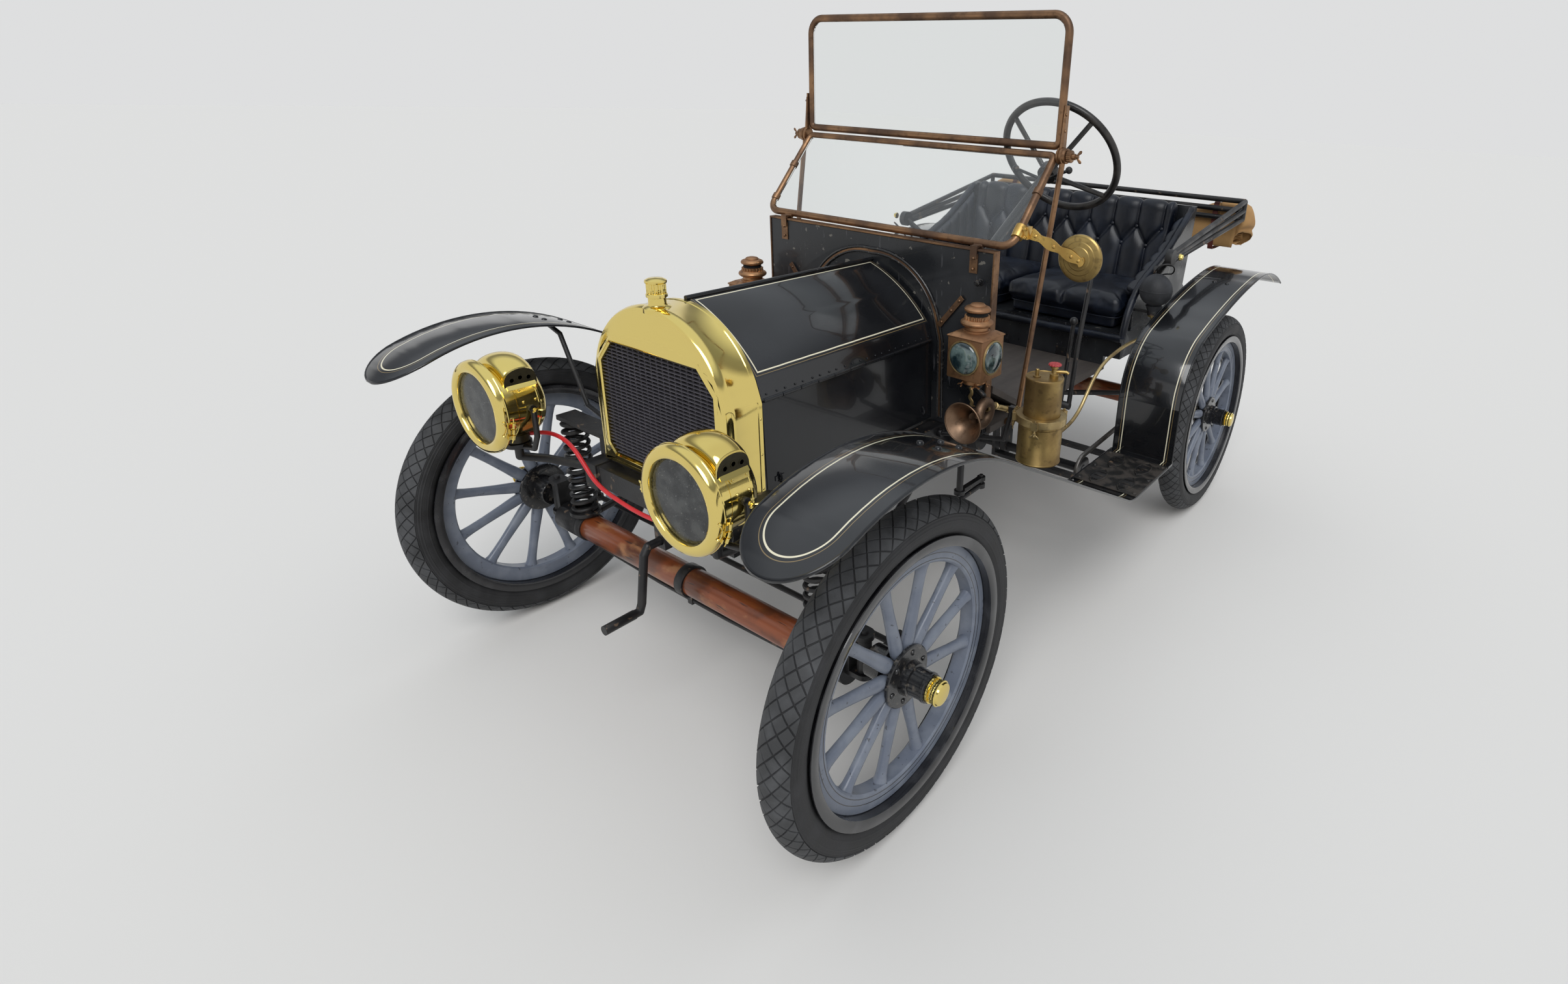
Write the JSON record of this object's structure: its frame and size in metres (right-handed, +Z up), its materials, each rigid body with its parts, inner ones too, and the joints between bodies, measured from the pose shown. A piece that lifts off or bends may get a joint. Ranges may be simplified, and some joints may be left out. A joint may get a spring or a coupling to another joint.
{
  "type": "brass era runabout car",
  "caption": "Open brass era runabout with wood-spoked wheels, hinged hood panels, linked steering, chain drive, gas lamps, bulb horn and a folded top.",
  "frame": {"origin": "on the ground under the middle of the whole car's box", "axes": "+Z up, the car faces -Y, +X is the car's left side"},
  "size_m": [1.652, 2.9977, 1.8108],
  "materials": {
    "wheel_paint": "blue-grey paint over wood, black iron rims",
    "tyre": "black rubber",
    "axle_wood": "worn red-brown varnish",
    "black_iron": "black enamel over iron, chipped",
    "chain_steel": "oily steel",
    "engine_iron": "plain iron",
    "black_paint": "gloss black coach paint with fine cream lines",
    "black_rim": "worn black composition rim",
    "polished_brass": "polished",
    "aged_brass": "aged, brown in the hollows",
    "radiator_fins": "dark dusty fins",
    "floor_wood": "dark worn boards",
    "seat_leather": "black buttoned leather",
    "canvas": "tan canvas, rolled",
    "window_glass": "clear flat glass",
    "lamp_glass": "dusty glass",
    "black_rubber": "black rubber",
    "red_rubber": "red rubber"
  },
  "bodies": {
    "car": {"axle_beams": "axle_wood", "axle_irons": "black_iron", "chassis_frame": "black_iron", "coil_springs": "black_iron", "radius_rods": "black_iron", "fender_irons": "black_iron", "jackshaft": "black_iron", "starting_crank": "black_iron", "lamp_brackets": "black_iron", "hand_levers": "black_iron", "top_bows": "black_iron", "steering_column": "black_iron", "drive_chains": "chain_steel", "engine": "engine_iron", "front_fenders": "black_paint", "rear_fenders": "black_paint", "hood_rod": "black_paint", "dash_panel": "black_paint", "seat_box": "black_paint", "rear_deck": "black_paint", "radiator_shell": "polished_brass", "headlamp_shells": "polished_brass", "headlamp_rims": "polished_brass", "mirror": "polished_brass", "dash_trim": "aged_brass", "screen_frames": "aged_brass", "screen_fittings": "aged_brass", "side_lamp_bodies": "aged_brass", "horn": "aged_brass", "horn_tube": "aged_brass", "gas_generator": "aged_brass", "step_plates": "aged_brass", "radiator_core": "radiator_fins", "floor_boards": "floor_wood", "seat_cushions": "seat_leather", "seat_back": "seat_leather", "top_bundle": "canvas", "screen_glass": "window_glass", "lamp_glasses": "lamp_glass", "horn_bulb": "black_rubber", "gas_hose": "red_rubber"},
    "front_left_road_wheel": {"front_left_wheel": "wheel_paint", "front_left_tyre": "tyre"},
    "front_right_road_wheel": {"front_right_wheel": "wheel_paint", "front_right_tyre": "tyre"},
    "rear_left_road_wheel": {"rear_left_wheel": "wheel_paint", "rear_left_tyre": "tyre"},
    "rear_right_road_wheel": {"rear_right_wheel": "wheel_paint", "rear_right_tyre": "tyre"},
    "left_knuckle": {"left_knuckle": "black_iron"},
    "right_knuckle": {"right_knuckle": "black_iron"},
    "tie_rod": {"tie_rod": "black_iron"},
    "drag_link": {"drag_link": "black_iron"},
    "pitman_arm": {"pitman_arm": "black_iron"},
    "steering_wheel": {"steering_wheel": "black_rim"},
    "hood_left_top": {"hood_left_top": "black_paint"},
    "hood_left_side": {"hood_left_side": "black_paint"},
    "hood_right_top": {"hood_right_top": "black_paint"},
    "hood_right_side": {"hood_right_side": "black_paint"}
  },
  "joints": [
    {"name": "front_left_wheel_spin", "type": "hinge", "parent": "left_knuckle", "child": "front_left_road_wheel", "pos_m": [0.711, -1.093, 0.406], "axis": [1, 0, 0], "continuous": true},
    {"name": "front_right_wheel_spin", "type": "hinge", "parent": "right_knuckle", "child": "front_right_road_wheel", "pos_m": [-0.711, -1.093, 0.406], "axis": [1, 0, 0], "continuous": true},
    {"name": "rear_left_wheel_spin", "type": "hinge", "parent": "car", "child": "rear_left_road_wheel", "pos_m": [0.711, 0.939, 0.406], "axis": [1, 0, 0], "continuous": true},
    {"name": "rear_right_wheel_spin", "type": "hinge", "parent": "car", "child": "rear_right_road_wheel", "pos_m": [-0.711, 0.939, 0.406], "axis": [1, 0, 0], "continuous": true},
    {"name": "steering", "type": "hinge", "parent": "car", "child": "steering_wheel", "pos_m": [0.32, 0.215, 1.413], "axis": [0, 0.848, 0.5299], "range_deg": [-180, 180]},
    {"name": "left_kingpin", "type": "hinge", "parent": "car", "child": "left_knuckle", "pos_m": [0.607, -1.093, 0.406], "axis": [0, 0, 1], "range_deg": [-25.3, 25.3]},
    {"name": "right_kingpin", "type": "hinge", "parent": "car", "child": "right_knuckle", "pos_m": [-0.607, -1.093, 0.406], "axis": [0, 0, 1], "range_deg": [-25.3, 25.3]},
    {"name": "pitman_swing", "type": "hinge", "parent": "car", "child": "pitman_arm", "pos_m": [0.32, -0.281, 0.4], "axis": [0, 0, 1], "range_deg": [-25.3, 25.3]},
    {"name": "tie_rod_pivot", "type": "hinge", "parent": "left_knuckle", "child": "tie_rod", "pos_m": [0.607, -0.963, 0.37], "axis": [0, 0, 1], "range_deg": [-25.3, 25.3]},
    {"name": "drag_link_pivot", "type": "hinge", "parent": "pitman_arm", "child": "drag_link", "pos_m": [0.32, -0.151, 0.38], "axis": [0, 0, 1], "range_deg": [-25.3, 25.3]},
    {"name": "hood_left_lift", "type": "hinge", "parent": "car", "child": "hood_left_top", "pos_m": [0, -0.695, 1.114], "axis": [0, -1, 0], "range_deg": [0, 85]},
    {"name": "hood_left_fold", "type": "hinge", "parent": "hood_left_top", "child": "hood_left_side", "pos_m": [0.2415, -0.695, 0.909], "axis": [0, -1, 0], "range_deg": [-85.1, 0]},
    {"name": "hood_right_lift", "type": "hinge", "parent": "car", "child": "hood_right_top", "pos_m": [0, -0.695, 1.114], "axis": [0, 1, 0], "range_deg": [0, 85]},
    {"name": "hood_right_fold", "type": "hinge", "parent": "hood_right_top", "child": "hood_right_side", "pos_m": [-0.2415, -0.695, 0.909], "axis": [0, 1, 0], "range_deg": [-85.1, 0]}
  ],
  "couplings": [
    {"joint": "left_kingpin", "follows": "steering", "ratio": 0.14},
    {"joint": "right_kingpin", "follows": "steering", "ratio": 0.14},
    {"joint": "pitman_swing", "follows": "steering", "ratio": 0.14},
    {"joint": "tie_rod_pivot", "follows": "steering", "ratio": -0.14},
    {"joint": "drag_link_pivot", "follows": "steering", "ratio": -0.14},
    {"joint": "hood_left_fold", "follows": "hood_left_lift", "ratio": -1},
    {"joint": "hood_right_fold", "follows": "hood_right_lift", "ratio": -1}
  ]
}
